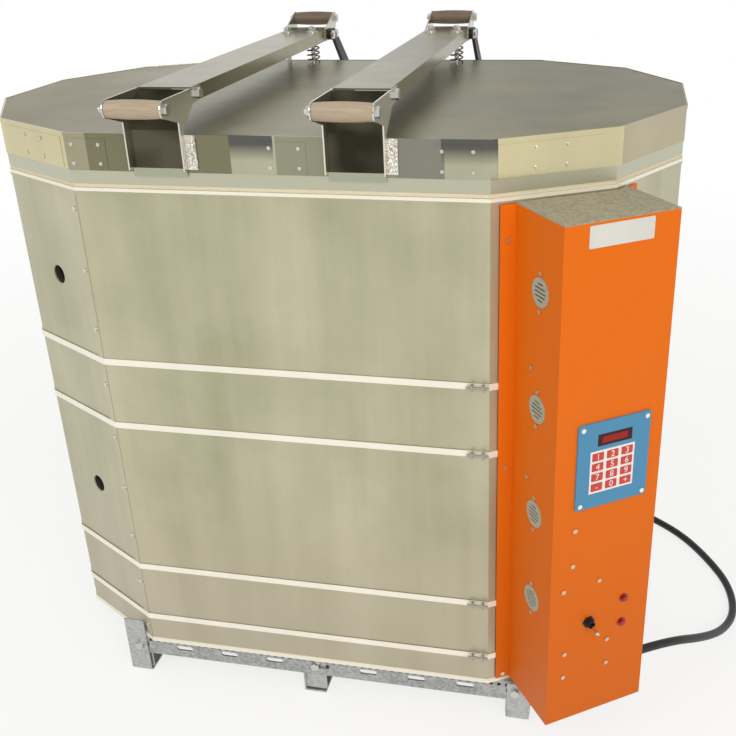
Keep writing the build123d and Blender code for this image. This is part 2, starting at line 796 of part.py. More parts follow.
face_screws = [
    (-49, toggle_z + 168),
    (-50, toggle_z + 109),
    (-4, toggle_z + 70),
    (-63, toggle_z + 68),
    (16, toggle_z - 44),
    (-57, toggle_z - 47),
    (17, toggle_z - 89),
    (-58, toggle_z - 90),
]
gland_r = 400
gland_z = box_low + 32
gland_hole = 9


def box_outline(front, half):
    """Adds the box's plan, closed by the flats of the jacket, to the open sketch."""
    with Locations(Pos(cap_x, 0) * Rot(0, 0, box_angle)):
        with Locations(((front + box_back) / 2, 0)):
            Rectangle(front - box_back, 2 * half)
    oval(flange_inside, Mode.SUBTRACT)


with BuildPart() as box_shell:
    with BuildSketch(Plane.XY.offset(box_low)):
        box_outline(box_front, box_half)
        with Locations(Pos(cap_x, 0) * Rot(0, 0, box_angle)):
            with Locations(((box_front - box_sheet + box_back) / 2, 0)):
                Rectangle(box_front - box_sheet - box_back, 2 * (box_half - box_sheet), mode=Mode.SUBTRACT)
    extrude(amount=box_high - plate_thick - box_low)
    with BuildSketch(Plane.XY.offset(box_low)):
        box_outline(box_front - box_sheet, box_half - box_sheet)
    extrude(amount=box_sheet)
    with BuildSketch(Plane.XY.offset(box_low)):
        with Locations(Pos(cap_x, 0) * Rot(0, 0, box_angle)):
            with Locations((flange_inside, 0)):
                with GridLocations(1, box_half - box_sheet + flange_reach, 1, 2):
                    Rectangle(brick_wall, flange_reach - box_half + box_sheet)
        oval(flange_inside + box_sheet, Mode.INTERSECT)
        oval(flange_inside, Mode.SUBTRACT)
    extrude(amount=box_high - plate_thick - box_low)
    with BuildSketch(box_left):
        with Locations(*[(vent_r, z) for z in vent_heights]):
            Circle(vent_hole + 0.3)
    extrude(amount=-2 * box_sheet, mode=Mode.SUBTRACT)
    with BuildSketch(box_right):
        with Locations((-gland_r, gland_z)):
            Circle(gland_hole)
    extrude(amount=-2 * box_sheet, mode=Mode.SUBTRACT)
    with BuildSketch(box_face):
        with Locations((toggle_s, toggle_z)):
            Circle(bushing_radius + 0.2)
        with Locations(*lamp_places):
            Circle(lamp_radius)
    extrude(amount=-2 * box_sheet, mode=Mode.SUBTRACT)
finish(box_shell, "box_shell")

# Top plate: a separate grey plate that closes the box
with BuildPart() as box_top_plate:
    with BuildSketch(Plane.XY.offset(box_high - plate_thick)):
        box_outline(box_front, box_half)
    extrude(amount=plate_thick)
finish(box_top_plate, "box_top_plate")

# Vent discs: round louvred discs pressed into the box's left wall
louvre_count = 5
louvre_pitch = 5.6
louvre_height = 2.4
vent_rim = 1.2

with BuildPart() as vent_discs:
    for z in vent_heights:
        with BuildSketch(box_left):
            with Locations((vent_r, z)):
                Circle(vent_radius)
        extrude(amount=vent_rim)
        with BuildSketch(box_left):
            with Locations((vent_r, z)):
                Circle(vent_hole)
        extrude(amount=-box_sheet)
        with BuildSketch(box_left.offset(vent_rim)):
            for index in range(louvre_count):
                rise = (index - (louvre_count - 1) / 2) * louvre_pitch
                width = 2 * math.sqrt((vent_hole - 2) ** 2 - (abs(rise) + louvre_height / 2) ** 2)
                with Locations((vent_r, z + rise)):
                    Rectangle(width, louvre_height)
        extrude(amount=-2 * box_sheet - vent_rim, mode=Mode.SUBTRACT)
finish(vent_discs, "vent_discs")

# Nameplate: a bare plate near the top of the front
with BuildPart() as nameplate:
    with BuildSketch(box_face):
        with Locations((-2, 849.5)):
            RectangleRounded(94, 29, 2)
    extrude(amount=0.8)
finish(nameplate, "nameplate")

# Keypad: a panel with a window and a block of keys that each press in a little
panel_thick = 2.4
key_clear = 0.3
key_stand = 0.8
key_back = 0.7
key_travel = 0.6

with BuildPart() as keypad_panel:
    with BuildSketch(box_face):
        with Locations((keypad_s, keypad_z)):
            RectangleRounded(keypad_width, keypad_height, 4)
        with Locations(display_centre):
            Rectangle(display_width, display_height, mode=Mode.SUBTRACT)
        with Locations(key_centre):
            with GridLocations(key_pitch_s, key_pitch_z, key_columns, key_rows):
                Rectangle(key_width, key_height, mode=Mode.SUBTRACT)
    extrude(amount=panel_thick)
finish(keypad_panel, "keypad_panel")

with BuildPart() as display_window:
    with BuildSketch(box_face):
        with Locations(display_centre):
            Rectangle(display_width - 0.2, display_height - 0.2)
    extrude(amount=panel_thick + 0.2)
finish(display_window, "display_window")

for row in range(key_rows):
    for column in range(key_columns):
        s = key_centre[0] + (column - (key_columns - 1) / 2) * key_pitch_s
        z = key_centre[1] - (row - (key_rows - 1) / 2) * key_pitch_z
        with BuildPart() as key:
            with BuildSketch(box_face.offset(key_back)):
                with Locations((s, z)):
                    RectangleRounded(key_width - 2 * key_clear, key_height - 2 * key_clear, 1.5)
            extrude(amount=panel_thick + key_stand - key_back)
        finish(key, f"key_{row * key_columns + column + 1}")

# Toggle switch: a body behind the front, a threaded bushing through it with its nut, and a bat lever
switch_body = (24, 30, 28)
bushing_out = 10
nut_width = 17
nut_thick = 2.5
lever_tilt = 12
lever_length = 26
lever_pivot = 2
well_radius = 4.4
well_depth = 6
lever_ball = well_radius - 0.2

with BuildPart() as toggle_switch:
    with BuildSketch(box_face.offset(-box_sheet)):
        with Locations((toggle_s, toggle_z)):
            Rectangle(switch_body[0], switch_body[1])
    extrude(amount=-switch_body[2])
    with BuildSketch(box_face.offset(-box_sheet)):
        with Locations((toggle_s, toggle_z)):
            Circle(bushing_radius)
    extrude(amount=box_sheet + bushing_out)
    with BuildSketch(box_face):
        with Locations((toggle_s, toggle_z)):
            RegularPolygon(nut_width / 2, 6, major_radius=False)
    extrude(amount=nut_thick)
    with BuildSketch(box_face.offset(bushing_out)):
        with Locations((toggle_s, toggle_z)):
            Circle(well_radius)
    extrude(amount=-bushing_out - well_depth, mode=Mode.SUBTRACT)
finish(toggle_switch, "toggle_switch")

toggle_origin = box_face.from_local_coords((toggle_s, toggle_z, lever_pivot))
lever_plane = Plane(origin=toggle_origin, x_dir=box_along, z_dir=box_out).rotated((lever_tilt, 0, 0))
with BuildPart() as toggle_lever:
    with BuildSketch(Plane(origin=lever_plane.origin, x_dir=lever_plane.z_dir, z_dir=lever_plane.x_dir)):
        with BuildLine():
            Polyline(
                (-lever_ball, 0),
                (-0.85 * lever_ball, 0.5 * lever_ball),
                (-0.5 * lever_ball, 0.85 * lever_ball),
                (0, lever_ball),
                (0.5 * lever_ball, 0.85 * lever_ball),
                (0.9 * lever_ball, 1.6),
                (8, 1.6),
                (lever_length - 3, 3),
                (lever_length - 1, 2.4),
                (lever_length, 1),
                (lever_length, 0),
                (-lever_ball, 0),
            )
        make_face()
    revolve(axis=Axis(lever_plane.origin, lever_plane.z_dir))
finish(toggle_lever, "toggle_lever")

# Indicator lamps: round red lenses in the front
with BuildPart() as indicator_lamps:
    for s, z in lamp_places:
        with BuildSketch(box_face):
            with Locations((s, z)):
                Circle(lamp_radius + 2)
        extrude(amount=1.5)
        with BuildSketch(box_face.offset(-12)):
            with Locations((s, z)):
                Circle(lamp_radius - 0.2)
        extrude(amount=17, taper=3)
finish(indicator_lamps, "indicator_lamps")

# Box screws: pan heads on the front, on the flanges and round the vents
flange_screw_z = [box_high - 49, (box_high + box_low) / 2, box_low + 8]
flange_flats = [(-1, -60), (1, -30)]
vent_screw_rise = 26
panel_screw_spread = (100, 118)
left_wall_screws = [(381, keypad_z + 130), (377, keypad_z - 41)]

with BuildPart() as box_screws:
    with BuildSketch(box_face):
        with Locations(*face_screws):
            Circle(screw_head)
    extrude(amount=screw_height)
    with BuildSketch(box_face.offset(panel_thick)):
        with Locations((keypad_s, keypad_z)):
            with GridLocations(*panel_screw_spread, 2, 2):
                Circle(screw_head)
    extrude(amount=screw_height)
    with BuildSketch(box_left):
        with Locations(*[(vent_r, z + side * vent_screw_rise) for z in vent_heights for side in (-1, 1)]):
            Circle(screw_head)
        with Locations(*left_wall_screws):
            Circle(screw_head)
    extrude(amount=screw_height)
    for z in flange_screw_z:
        for side, flat in flange_flats:
            turn = math.radians(flat - box_angle)
            screw_s = side * (box_half + flange_reach) / 2
            with BuildSketch(flat_plane(1, flat, flange_inside + box_sheet, z)):
                with Locations(((screw_s - flange_inside * math.sin(turn)) / math.cos(turn), 0)):
                    Circle(screw_head)
            extrude(amount=screw_height)
finish(box_screws, "box_screws")

# Inside the box: the controller board behind the keypad, the relays and the transformer, all hung on the front
board_front = 12
board_thick = 1.6
standoff_radius = 3

with BuildPart() as controller_board:
    with BuildSketch(box_face.offset(-board_front)):
        with Locations((keypad_s, keypad_z)):
            Rectangle(108, 126)
    extrude(amount=-board_thick)
    with BuildSketch(box_face.offset(-board_front)):
        with Locations((keypad_s, keypad_z)):
            with GridLocations(*panel_screw_spread, 2, 2):
                Circle(standoff_radius)
    extrude(amount=board_front - box_sheet)
    with BuildSketch(box_face.offset(-board_front - board_thick)):
        with Locations((keypad_s - 30, keypad_z - 40), (keypad_s + 25, keypad_z - 40)):
            Rectangle(30, 24)
    extrude(amount=-12)
finish(controller_board, "controller_board")

relay_places = [(-49, 398), (-40, 337), (30, 337)]
relay_size = (44, 50, 36)
with BuildPart() as relays:
    with BuildSketch(box_face.offset(-box_sheet)):
        with Locations(*relay_places):
            Rectangle(relay_size[0], relay_size[1])
    extrude(amount=-relay_size[2])
finish(relays, "relays")

transformer_place = (-20, 191)
with BuildPart() as transformer:
    with BuildSketch(box_face.offset(-box_sheet)):
        with Locations(transformer_place):
            Rectangle(74, 62)
    extrude(amount=-4)
    with BuildSketch(box_face.offset(-box_sheet - 4)):
        with Locations(transformer_place):
            Rectangle(62, 50)
    extrude(amount=-40)
finish(transformer, "transformer")

# Cord gland: a nut and a tapered sleeve on the box's right wall, low down
cord_radius = 7
gland_nut = 6
gland_sleeve = 32
gland_plane = Plane(origin=box_right.from_local_coords((-gland_r, gland_z, 0)), x_dir=box_out, z_dir=box_along)

with BuildPart() as cord_gland:
    with BuildSketch(gland_plane.offset(-box_sheet - 8)):
        Circle(gland_hole - 0.3)
    extrude(amount=box_sheet + 8)
    with BuildSketch(gland_plane):
        RegularPolygon(13, 6, major_radius=False)
    extrude(amount=gland_nut)
    with BuildSketch(gland_plane.offset(gland_nut)):
        Circle(11)
    with BuildSketch(gland_plane.offset(gland_sleeve)):
        Circle(cord_radius + 1.5)
    loft()
finish(cord_gland, "cord_gland")

# Cord: out of the gland, down to the floor, round to the right and back behind the kiln
floor_z = cord_radius + 0.1
coil_centre = Vector(430, 470, floor_z)
coil_middle = 80
coil_step = 14.6
coil_lead = 2 * cord_radius
coil_outer = coil_middle + coil_step / 2
coil_inner = coil_middle - coil_step / 2
entry_heading = 152
entry_way = Vector(1, 0, 0).rotate(Axis.Z, entry_heading)
entry_spot = coil_centre + Vector(1, 0, 0).rotate(Axis.Z, entry_heading + 90) * coil_outer
coil_start = entry_spot - entry_way * coil_lead
last_run = 84
cord_start = gland_plane.origin + box_along * gland_sleeve
cord_route = [
    cord_start,
    cord_start + box_along * 58 - Vector(0, 0, 2),
    Vector(640, -146, 62),
    Vector(682, -70, 22),
    Vector(707, 2, floor_z),
    Vector(702, 83, floor_z),
    Vector(666, 164, floor_z),
    Vector(619, 237, floor_z),
    Vector(556, 292, floor_z),
    coil_start - entry_way * last_run,
    coil_start,
]


def route_radii(points):
    """The radius at each corner: 0.45 of the shorter run over the tangent of half the turn."""
    radii = []
    for before, corner, after in zip(points, points[1:], points[2:]):
        turn = math.radians((corner - before).get_angle(after - corner))
        shorter = min((corner - before).length, (after - corner).length)
        radii.append(0.45 * shorter / math.tan(turn / 2))
    return radii


with BuildPart() as cord:
    radii = route_radii(cord_route)
    with BuildLine() as cord_line:
        FilletPolyline(*cord_route, radius=radii)
    cord_wire = cord_line.wires()[0]
    with BuildSketch(Plane(origin=cord_start, z_dir=box_along)):
        Circle(cord_radius)
    sweep(path=cord_wire)
    print("cord radii", [round(radius) for radius in radii])
    print("cord length", round(cord_wire.length))
    print("cord volume over section by length", cord.part.volume / (math.pi * cord_radius**2 * cord_wire.length))
finish(cord, "cord")

# Stored coil: one turn on the floor, a climb in half a turn, a half turn on top and straight out to the plug
plug_lead = 74
upper = Vector(0, 0, coil_step)


def coil_spot(radius, height):
    """A point of the coil across from its entry, on the far or near side by the radius's sign."""
    return coil_centre + Vector(1, 0, 0).rotate(Axis.Z, entry_heading + 90) * radius + height


with BuildPart() as cord_coil:
    ground = Vector(0, 0, 0)
    stops = [
        (coil_spot(coil_outer, ground), entry_way),
        (coil_spot(-coil_outer, ground), entry_way * -1),
        (coil_spot(coil_inner, ground), entry_way),
        (coil_spot(-coil_inner, upper), entry_way * -1),
        (coil_spot(coil_outer, upper), entry_way),
    ]
    edges = [Edge.make_line(coil_start, entry_spot)]
    for before, after in zip(stops, stops[1:]):
        edges += biarc(*before, *after)
    coil_end = stops[-1][0] + entry_way * plug_lead
    edges.append(Edge.make_line(stops[-1][0], coil_end))
    coil_wire = Wire(edges)
    with BuildSketch(Plane(origin=coil_start, z_dir=entry_way)):
        Circle(cord_radius)
    sweep(path=coil_wire)
    print("coil least gap", round(least_gap(coil_wire, 2 * cord_radius, 500), 2))
    print("coil length", round(coil_wire.length))
finish(cord_coil, "cord_coil")

# Plug: a round moulded plug lying on the floor, with a tapered neck, two flat blades and a round earth pin
plug_radius = coil_end.Z
plug_neck = 22
plug_body = 38
blade_length = 22
plug_plane = Plane(origin=coil_end, x_dir=(0, 0, 1), z_dir=entry_way)

with BuildPart() as plug:
    with BuildSketch(Plane(origin=coil_end, x_dir=entry_way, z_dir=entry_way.cross(Vector(0, 0, 1)))):
        with BuildLine():
            Polyline(
                (0, 0),
                (0, cord_radius + 2),
                (plug_neck * 0.6, cord_radius + 4),
                (plug_neck, plug_radius - 2),
                (plug_neck + 3, plug_radius),
                (plug_neck + plug_body - 2, plug_radius),
                (plug_neck + plug_body, plug_radius - 2),
                (plug_neck + plug_body, 0),
                (0, 0),
            )
        make_face()
    revolve(axis=Axis(coil_end, entry_way))
    with BuildSketch(plug_plane.offset(plug_neck + plug_body)):
        with Locations((-4, -9), (-4, 9)):
            Rectangle(8, 2)
        with Locations((8, 0)):
            Circle(2.8)
    extrude(amount=blade_length)
finish(plug, "plug")
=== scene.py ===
import math

import bpy
from mathutils import Matrix, Vector


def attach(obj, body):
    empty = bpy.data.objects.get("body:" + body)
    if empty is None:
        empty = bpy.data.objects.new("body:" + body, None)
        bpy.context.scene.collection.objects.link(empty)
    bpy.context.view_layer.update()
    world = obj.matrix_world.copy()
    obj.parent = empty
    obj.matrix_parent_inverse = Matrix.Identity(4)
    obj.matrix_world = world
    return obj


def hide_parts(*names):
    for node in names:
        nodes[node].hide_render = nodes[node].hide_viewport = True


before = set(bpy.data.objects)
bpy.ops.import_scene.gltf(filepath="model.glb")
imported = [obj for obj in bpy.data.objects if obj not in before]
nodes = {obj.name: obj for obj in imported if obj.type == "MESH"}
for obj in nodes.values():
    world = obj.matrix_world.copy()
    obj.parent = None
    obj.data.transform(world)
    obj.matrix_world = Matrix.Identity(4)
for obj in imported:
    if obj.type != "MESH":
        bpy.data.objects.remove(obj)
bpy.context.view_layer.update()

# Camera: stands a little to the right of the kiln and above it, looking down on the lid. Its place, turn and
# lens come from fitting the kiln's known brick sizes to the photograph, and the two small shifts frame it.
camera_place = (0.452, -1.543, 1.219)
yaw = math.radians(-12.666)
pitch = math.radians(24.885)
roll = math.radians(-1.809)
ahead = Vector((math.sin(yaw) * math.cos(pitch), math.cos(yaw) * math.cos(pitch), -math.sin(pitch)))
level = Vector((math.cos(yaw), -math.sin(yaw), 0))
above = level.cross(ahead)
right = level * math.cos(roll) + above * math.sin(roll)
up = above * math.cos(roll) - level * math.sin(roll)
camera = bpy.data.objects.new("camera", bpy.data.cameras.new("camera"))
camera.matrix_world = Matrix((
    (right.x, up.x, -ahead.x, camera_place[0]),
    (right.y, up.y, -ahead.y, camera_place[1]),
    (right.z, up.z, -ahead.z, camera_place[2]),
    (0, 0, 0, 1),
))
camera.data.sensor_width = 36
camera.data.lens = 48.0
camera.data.shift_x = -0.0582
camera.data.shift_y = -0.0119
camera.data.clip_end = 50
bpy.context.scene.collection.objects.link(camera)
bpy.context.scene.camera = camera
bpy.context.scene.view_settings.view_transform = "Standard"

# Stand: slotted steel angle, galvanised in hot zinc, cut to length and bolted together at the crossings. The
# zinc has gone dull grey and shows the small pale flakes that it forms as it cools.
hole_pitch = 0.0127
hole_share = 0.45
hole_row = (0.0650, 0.0705)
flake_colour = (0.80, 0.82, 0.83)


def new_finish(name):
    """An empty material and its node tree."""
    material = bpy.data.materials.new(name)
    material.use_nodes = True
    return material, material.node_tree


def feed(tree, socket, value):
    """Gives a socket a link, a colour or a plain value."""
    if isinstance(value, bpy.types.NodeSocket):
        tree.links.new(value, socket)
    elif socket.type == "RGBA":
        socket.default_value = (*value, 1)
    else:
        socket.default_value = value


def finish_step(tree, kind, values, **options):
    """One step of a finish: adds a node, sets its options, feeds its inputs and returns its outputs."""
    step = tree.nodes.new(f"ShaderNode{kind}")
    for option, choice in options.items():
        setattr(step, option, choice)
    for name, value in values.items():
        feed(tree, step.inputs[name], value)
    return step.outputs


def apply_finish(tree, values):
    """Feeds the inputs of a finish's shader by their names."""
    for name, value in values.items():
        feed(tree, tree.nodes["Principled BSDF"].inputs[name], value)


def math_step(tree, operation, *values):
    """One step of arithmetic on values or links."""
    return finish_step(tree, "Math", dict(enumerate(values)), operation=operation)["Value"]


def shared_effect(name, inputs, outputs):
    """An empty node group for an effect that several finishes share, with its own inputs and outputs."""
    group = bpy.data.node_groups.new(name, "ShaderNodeTree")
    for label, kind in inputs.items():
        group.interface.new_socket(label, in_out="INPUT", socket_type=f"NodeSocket{kind}")
    for label, kind in outputs.items():
        group.interface.new_socket(label, in_out="OUTPUT", socket_type=f"NodeSocket{kind}")
    return group, group.nodes.new("NodeGroupInput").outputs, group.nodes.new("NodeGroupOutput").inputs


# The marks of bare sheet metal: rolling leaves cloudy patches and long streaks, and handling leaves hairline
# scratches across them.
sheet_marks, given, made = shared_effect(
    "sheet marks",
    {"Dark": "Color", "Light": "Color", "Smoothest": "Float", "Roughest": "Float"},
    {"Colour": "Color", "Roughness": "Float", "Scratch": "Float"},
)
place = finish_step(sheet_marks, "TexCoord", {})["Object"]
patches = {"Vector": place, "Scale": 4.5, "Detail": 5, "Roughness": 0.6}
cloud = finish_step(sheet_marks, "TexNoise", patches)["Fac"]
drawn = finish_step(sheet_marks, "Mapping", {"Vector": place, "Scale": (11, 11, 0.9)})["Vector"]
streak = finish_step(sheet_marks, "TexNoise", {"Vector": drawn, "Scale": 1.3, "Detail": 4})["Fac"]
across = finish_step(sheet_marks, "Mapping", {"Vector": place, "Scale": (9, 9, 420)})["Vector"]
scratch = finish_step(sheet_marks, "TexNoise", {"Vector": across, "Scale": 1.6, "Detail": 3})["Fac"]
uneven = math_step(sheet_marks, "MULTIPLY_ADD", cloud, 0.5, math_step(sheet_marks, "MULTIPLY", streak, 0.5))
spread = {"Value": uneven, "From Min": 0.28, "From Max": 0.72}
share = finish_step(sheet_marks, "MapRange", spread)["Result"]
tones = {"Factor": share, "A": given["Dark"], "B": given["Light"]}
gloss = {"Value": cloud, "To Min": given["Smoothest"], "To Max": given["Roughest"]}
feed(sheet_marks, made["Colour"], finish_step(sheet_marks, "Mix", tones, data_type="RGBA")["Result"])
feed(sheet_marks, made["Roughness"], finish_step(sheet_marks, "MapRange", gloss)["Result"])
feed(sheet_marks, made["Scratch"], scratch)


def bare_sheet(name, dark, light, roughness, metallic, brush=0.0):
    """A bare metal sheet whose colour, gloss and surface vary with the shared sheet marks."""
    material, tree = new_finish(name)
    values = {"Dark": dark, "Light": light, "Smoothest": roughness * 0.7, "Roughest": roughness * 1.4}
    marks = finish_step(tree, "Group", values, node_tree=sheet_marks)
    apply_finish(tree, {
        "Metallic": metallic,
        "Base Color": marks["Colour"],
        "Roughness": marks["Roughness"],
    })
    if brush:
        relief = finish_step(tree, "Bump", {"Strength": brush, "Distance": 0.0004, "Height": marks["Scratch"]})
        apply_finish(tree, {"Normal": relief["Normal"]})
    return material


def wear(material, *names):
    """Puts a material on CAD pieces."""
    for name in names:
        nodes[name].material_slots[0].material = material


# Hot zinc cools into crystals: each flake is a cell with a shade of its own.
zinc_flakes, given, made = shared_effect("zinc flakes", {"Share": "Float"}, {"Flake": "Float"})
place = finish_step(zinc_flakes, "TexCoord", {})["Object"]
cells = finish_step(zinc_flakes, "TexVoronoi", {"Vector": place, "Scale": 260})["Color"]
shade = finish_step(zinc_flakes, "SeparateXYZ", {"Vector": cells})["X"]
feed(zinc_flakes, made["Flake"], math_step(zinc_flakes, "MULTIPLY", shade, given["Share"]))


def recolour(material, mask, colour, target="Base Color"):
    """Lays another colour or value over what a finish has there, as far as a mask says."""
    tree = material.node_tree
    socket = tree.nodes["Principled BSDF"].inputs[target]
    under = socket.links[0].from_socket if socket.is_linked else socket.default_value
    kind = "RGBA" if target == "Base Color" else "FLOAT"
    over = finish_step(tree, "Mix", {"Factor": mask, "A": under, "B": colour}, data_type=kind)
    feed(tree, socket, over["Result"])


def flake(material, colour, share=0.35):
    """Spreads pale zinc flakes over a finish."""
    speckle = finish_step(material.node_tree, "Group", {"Share": share}, node_tree=zinc_flakes)
    recolour(material, speckle["Flake"], colour)


angle_steel = bare_sheet(
    "galvanised angle",
    dark=(0.30, 0.31, 0.31),
    light=(0.56, 0.57, 0.57),
    roughness=0.40,
    metallic=0.8,
)
flake(angle_steel, flake_colour)
wear(angle_steel, "cross_rails", "stand_plates")


def own_place(tree):
    """The x, y and z of a point on the piece itself, in metres, which stay with it as it moves."""
    place = finish_step(tree, "TexCoord", {})["Object"]
    return finish_step(tree, "SeparateXYZ", {"Vector": place})


def between(tree, axis, low, high):
    """A mask that is 1 where the piece's own x, y or z lies between two values."""
    return math_step(tree, "COMPARE", own_place(tree)[axis], (low + high) / 2, (high - low) / 2)


def both(tree, first, second):
    """The product of two masks: where it is 1, both of them are."""
    return math_step(tree, "MULTIPLY", first, second)


rail_steel = bare_sheet(
    "punched angle",
    dark=(0.22, 0.225, 0.22),
    light=(0.44, 0.445, 0.43),
    roughness=0.42,
    metallic=0.8,
)
flake(rail_steel, flake_colour)
tree = rail_steel.node_tree
# The row of slots is painted near-black: painted shade seen through the holes.
pitches = math_step(tree, "MULTIPLY", own_place(tree)["X"], 1 / hole_pitch)
hole = math_step(tree, "LESS_THAN", math_step(tree, "FRACT", pitches), hole_share)
recolour(rail_steel, both(tree, hole, between(tree, "Z", *hole_row)), (0.03, 0.03, 0.03))
wear(rail_steel, "stand_rails")

# Bricks: soft, pale insulating firebrick, sawn and laid dry in three courses on a slab and a hard base board.
# A round peephole is bored through the wall in two of the courses, and its bore is drawn near-black. The tube
# of the thermocouple is as pale as the bricks.
peephole_line = (-0.34835, -0.25522)
peephole_direction = (-0.5, -0.866, 0)
peephole_heights = (0.359, 0.728)
peephole_radius = 0.0142
wall_reach = (-0.34, -0.19)
brick, tree = new_finish("firebrick")
pores = finish_step(tree, "TexNoise", {"Scale": 260, "Detail": 6})["Fac"]
tones = {"Factor": pores, "A": (0.62, 0.54, 0.38), "B": (0.88, 0.81, 0.64)}
apply_finish(tree, {
    "Roughness": 0.95,
    "Base Color": finish_step(tree, "Mix", tones, data_type="RGBA")["Result"],
    "Normal": finish_step(tree, "Bump", {"Strength": 0.5, "Distance": 0.001, "Height": pores})["Normal"],
})
place = finish_step(tree, "TexCoord", {})["Object"]
for height in peephole_heights:
    offset = {0: place, 1: (*peephole_line, height)}
    offset = finish_step(tree, "VectorMath", offset, operation="SUBTRACT")["Vector"]
    away = {0: offset, 1: peephole_direction}
    away = finish_step(tree, "VectorMath", away, operation="CROSS_PRODUCT")["Vector"]
    away = finish_step(tree, "VectorMath", {0: away}, operation="LENGTH")["Value"]
    # The walls of the bore are drawn near-black.
    bore = math_step(tree, "LESS_THAN", away, peephole_radius)
    dark_bore = both(tree, bore, between(tree, "Y", *wall_reach))
    recolour(brick, dark_bore, (0.035, 0.03, 0.022))
wear(brick, "base_board", "floor_slab", "lid_slab", "peephole_brick_lower", "peephole_brick_upper")
wear(brick, "wall_course_lower", "wall_course_middle", "wall_course_upper", "thermocouple")

# Jacket: thin stainless sheet wrapped round the bricks, bent at each corner and screwed along one overlap. Its
# mill finish is dull, greenish and uneven, browner towards the foot, and the folded hems show the bright side.
browned_foot = (0.12, 0.46)
hems = ((0.0759, 0.0841), (0.8712, 0.8759))


def slope(tree, axis, start, stop, first=0, last=1):
    """A value that goes evenly from first to last between two places along the piece's own x, y or z."""
    values = {"Value": own_place(tree)[axis], "From Min": start, "From Max": stop}
    return finish_step(tree, "MapRange", {**values, "To Min": first, "To Max": last})["Result"]


jacket_steel = bare_sheet(
    "jacket steel",
    dark=(0.355, 0.345, 0.215),
    light=(0.65, 0.615, 0.455),
    roughness=0.32,
    metallic=0.8,
    brush=0.12,
)
tree = jacket_steel.node_tree
recolour(jacket_steel, slope(tree, "Z", *browned_foot, first=0.55, last=0), (0.50, 0.43, 0.34))
for hem in hems:
    recolour(jacket_steel, between(tree, "Z", *hem), (0.86, 0.83, 0.73))
    recolour(jacket_steel, between(tree, "Z", *hem), 0.25, "Metallic")
wear(jacket_steel, "jacket")

# Clamp bands: pale, bright steel strips drawn tight round the jacket by a screw at the front. The bent ends
# that stand out there with their screws are darker than the strips.
clamp_reach = (-0.36, -0.3363)
band_steel = bare_sheet(
    "band steel",
    dark=(0.84, 0.80, 0.70),
    light=(0.96, 0.94, 0.86),
    roughness=0.30,
    metallic=0.35,
    brush=0.05,
)
tree = band_steel.node_tree
recolour(band_steel, between(tree, "Y", *clamp_reach), (0.42, 0.40, 0.34))
recolour(band_steel, between(tree, "Y", *clamp_reach), 0.95, "Metallic")
wear(band_steel, "clamp_bands")

# Lid top: a dull grey sheet laid over the lid's firebrick and tucked under the band at its rim. It is a little
# browner at the left end.
browned_end = (-0.50, -0.18)
top_sheet = bare_sheet(
    "lid top sheet",
    dark=(0.23, 0.22, 0.14),
    light=(0.375, 0.35, 0.24),
    roughness=0.34,
    metallic=0.75,
    brush=0.30,
)
browning = slope(top_sheet.node_tree, "X", *browned_end, first=0.75, last=0)
recolour(top_sheet, browning, (0.27, 0.225, 0.105))
wear(top_sheet, "lid_top_sheet")

# Lid band: a riveted steel band that holds the lid's bricks together. Its lower edge is plain sheet, and above
# it lie overlapping polished plates, each tinted its own tone: painted reflections. Two of them are darker
# towards
# the top: painted dark reflections.
cream = (0.90, 0.83, 0.64)
dull = (0.52, 0.50, 0.42)
olive = (0.30, 0.29, 0.22)
pale = (0.64, 0.65, 0.58)
sage = (0.41, 0.43, 0.37)
cool = (0.34, 0.35, 0.36)
sand = (0.66, 0.62, 0.52)
band_end = 0.54
plain_edge = (0.8815, 0.9003)
dark_reflection_plates = ((-0.0551, 0.0054), (0.2279, 0.2992))
dark_reflection_rise = (0.918, 0.940)


def tone_card(tree, value, stops, interpolation="LINEAR"):
    """A colour that follows a value from 0 to 1 over a row of stops."""
    card = tree.nodes.new("ShaderNodeValToRGB")
    feed(tree, card.inputs["Fac"], value)
    card.color_ramp.interpolation = interpolation
    marks = card.color_ramp.elements
    for mark, (position, colour) in zip(marks, stops[:2]):
        mark.position = position
        mark.color = (*colour, 1)
    for position, colour in stops[2:]:
        marks.new(position).color = (*colour, 1)
    return card.outputs["Color"]


rim = bare_sheet(
    "polished band",
    dark=(0.60, 0.585, 0.45),
    light=(0.76, 0.74, 0.60),
    roughness=0.12,
    metallic=0.75,
    brush=0.05,
)
tree = rim.node_tree
# Each plate's tone is a painted reflection in the polished steel.
plates = (
    (0, cream),
    (0.224, dull),
    (0.257, olive),
    (0.449, pale),
    (0.505, sage),
    (0.653, cool),
    (0.711, pale),
    (0.777, cream),
    (0.917, sand),
)
plate_reflection_tone = tone_card(tree, slope(tree, "X", -band_end, band_end), plates, "CONSTANT")
sheet_tone = tree.nodes["Principled BSDF"].inputs["Base Color"].links[0].from_socket
tones = {"Factor": 1, "A": sheet_tone, "B": plate_reflection_tone}
tinted = finish_step(tree, "Mix", tones, data_type="RGBA", blend_type="MULTIPLY")["Result"]
apply_finish(tree, {"Base Color": tinted})
# The two dark tops are painted dark reflections.
for sides in dark_reflection_plates:
    dark_reflection_top = both(tree, slope(tree, "Z", *dark_reflection_rise), between(tree, "X", *sides))
    recolour(rim, dark_reflection_top, (0.105, 0.104, 0.092))
recolour(rim, between(tree, "Z", *plain_edge), (0.52, 0.52, 0.40))
recolour(rim, between(tree, "Z", *plain_edge), 0.33, "Roughness")
wear(rim, "lid_band")
